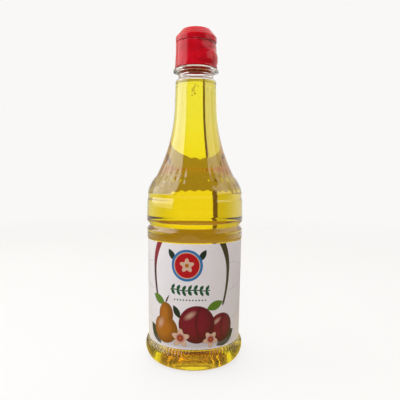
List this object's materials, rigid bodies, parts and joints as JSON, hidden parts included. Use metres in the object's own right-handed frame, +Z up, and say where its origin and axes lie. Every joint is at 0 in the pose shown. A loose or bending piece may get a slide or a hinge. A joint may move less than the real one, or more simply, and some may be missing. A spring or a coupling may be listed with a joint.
{
  "type": "vinegar bottle",
  "caption": "Clear plastic bottle of yellow vinegar with a slim neck, a fluted shoulder, a wrap-round label and a shut red flip-top cap.",
  "frame": {"origin": "on the floor under the bottle's axis, at the middle of the ring that it stands on", "axes": "+Z up along the bottle's axis towards the cap, -Y towards the front of the label, +X to the right of the label"},
  "size_m": [0.0698, 0.0698, 0.2356],
  "materials": {
    "clear_plastic": "clear blow-moulded plastic, glossy, thin-walled",
    "liquid": "clear yellow vinegar",
    "label_film": "printed white film with a soft sheen and light wrinkles",
    "cap_plastic": "moulded red plastic, glossy"
  },
  "bodies": {
    "root": {"bottle": "clear_plastic", "vinegar": "liquid", "label": "label_film", "cap": "cap_plastic", "cap_lid": "cap_plastic"}
  },
  "joints": []
}
